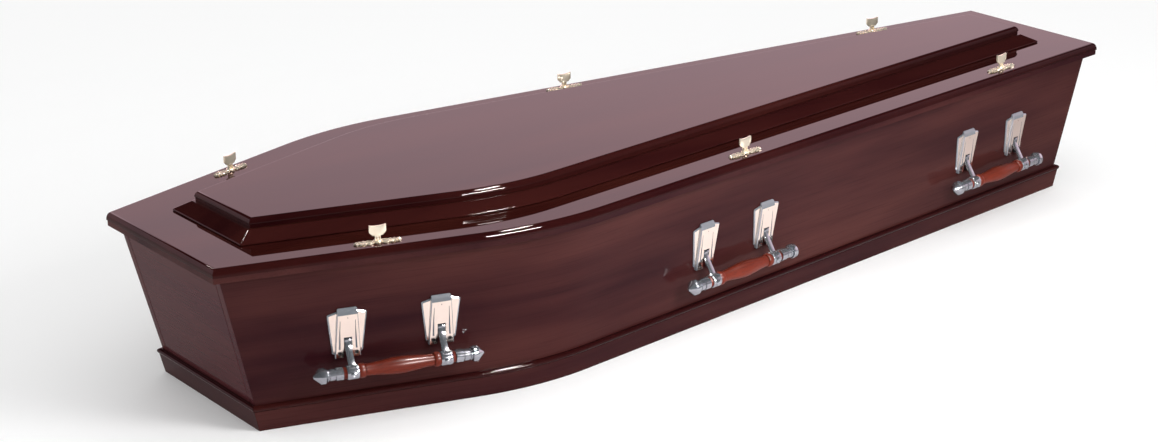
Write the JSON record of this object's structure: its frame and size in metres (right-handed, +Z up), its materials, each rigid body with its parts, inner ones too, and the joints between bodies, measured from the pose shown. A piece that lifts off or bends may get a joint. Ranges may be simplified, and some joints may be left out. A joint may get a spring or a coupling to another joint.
{
  "type": "wooden coffin",
  "caption": "Raised-lid coffin with round shoulders, raked boards, plinth, swing bar handles and ornamental lid screws; hollow and empty.",
  "frame": {"origin": "on the floor, under the middle of the lid", "axes": "+X from the head end to the foot end, +Y to the right-hand side seen from the head end, +Z up"},
  "size_m": [2.036, 0.6592, 0.332],
  "materials": {
    "lacquered_mahogany": "gloss lacquer, dark red brown",
    "red_turned_wood": "gloss lacquer, red",
    "nickel": "polished nickel",
    "pale_brass": "polished pale brass"
  },
  "bodies": {
    "coffin": {"base_board": "lacquered_mahogany", "foot_board": "lacquered_mahogany", "foot_plinth": "lacquered_mahogany", "head_board": "lacquered_mahogany", "head_plinth": "lacquered_mahogany", "left_foot_handle_backplate_a": "nickel", "left_foot_handle_backplate_b": "nickel", "left_foot_lid_screw": "pale_brass", "left_head_handle_backplate_a": "nickel", "left_head_handle_backplate_b": "nickel", "left_head_lid_screw": "pale_brass", "left_middle_handle_backplate_a": "nickel", "left_middle_handle_backplate_b": "nickel", "left_middle_lid_screw": "pale_brass", "left_plinth": "lacquered_mahogany", "left_side_board": "lacquered_mahogany", "lid_board": "lacquered_mahogany", "lid_riser": "lacquered_mahogany", "lid_top_panel": "lacquered_mahogany", "right_foot_handle_backplate_a": "nickel", "right_foot_handle_backplate_b": "nickel", "right_foot_lid_screw": "pale_brass", "right_head_handle_backplate_a": "nickel", "right_head_handle_backplate_b": "nickel", "right_head_lid_screw": "pale_brass", "right_middle_handle_backplate_a": "nickel", "right_middle_handle_backplate_b": "nickel", "right_middle_lid_screw": "pale_brass", "right_plinth": "lacquered_mahogany", "right_side_board": "lacquered_mahogany"},
    "left_foot_handle": {"left_foot_handle_arm_a": "nickel", "left_foot_handle_arm_b": "nickel", "left_foot_handle_bar": "red_turned_wood", "left_foot_handle_cap_a": "nickel", "left_foot_handle_cap_b": "nickel"},
    "left_head_handle": {"left_head_handle_arm_a": "nickel", "left_head_handle_arm_b": "nickel", "left_head_handle_bar": "red_turned_wood", "left_head_handle_cap_a": "nickel", "left_head_handle_cap_b": "nickel"},
    "left_middle_handle": {"left_middle_handle_arm_a": "nickel", "left_middle_handle_arm_b": "nickel", "left_middle_handle_bar": "red_turned_wood", "left_middle_handle_cap_a": "nickel", "left_middle_handle_cap_b": "nickel"},
    "right_foot_handle": {"right_foot_handle_arm_a": "nickel", "right_foot_handle_arm_b": "nickel", "right_foot_handle_bar": "red_turned_wood", "right_foot_handle_cap_a": "nickel", "right_foot_handle_cap_b": "nickel"},
    "right_head_handle": {"right_head_handle_arm_a": "nickel", "right_head_handle_arm_b": "nickel", "right_head_handle_bar": "red_turned_wood", "right_head_handle_cap_a": "nickel", "right_head_handle_cap_b": "nickel"},
    "right_middle_handle": {"right_middle_handle_arm_a": "nickel", "right_middle_handle_arm_b": "nickel", "right_middle_handle_bar": "red_turned_wood", "right_middle_handle_cap_a": "nickel", "right_middle_handle_cap_b": "nickel"}
  },
  "joints": [
    {"name": "left_head_handle_swing", "type": "hinge", "parent": "coffin", "child": "left_head_handle", "pos_m": [-0.72933, -0.23509, 0.14051], "axis": [-0.9549, 0.2969, 0], "range_deg": [0, 75]},
    {"name": "left_middle_handle_swing", "type": "hinge", "parent": "coffin", "child": "left_middle_handle", "pos_m": [-0.02451, -0.25953, 0.14051], "axis": [-0.994, -0.1094, 0], "range_deg": [0, 75]},
    {"name": "left_foot_handle_swing", "type": "hinge", "parent": "coffin", "child": "left_foot_handle", "pos_m": [0.71249, -0.1784, 0.14051], "axis": [-0.994, -0.1094, 0], "range_deg": [0, 75]},
    {"name": "right_head_handle_swing", "type": "hinge", "parent": "coffin", "child": "right_head_handle", "pos_m": [-0.72933, 0.23509, 0.14051], "axis": [0.9549, 0.2969, 0], "range_deg": [0, 75]},
    {"name": "right_middle_handle_swing", "type": "hinge", "parent": "coffin", "child": "right_middle_handle", "pos_m": [-0.02451, 0.25953, 0.14051], "axis": [0.994, -0.1094, 0], "range_deg": [0, 75]},
    {"name": "right_foot_handle_swing", "type": "hinge", "parent": "coffin", "child": "right_foot_handle", "pos_m": [0.71249, 0.1784, 0.14051], "axis": [0.994, -0.1094, 0], "range_deg": [0, 75]}
  ]
}
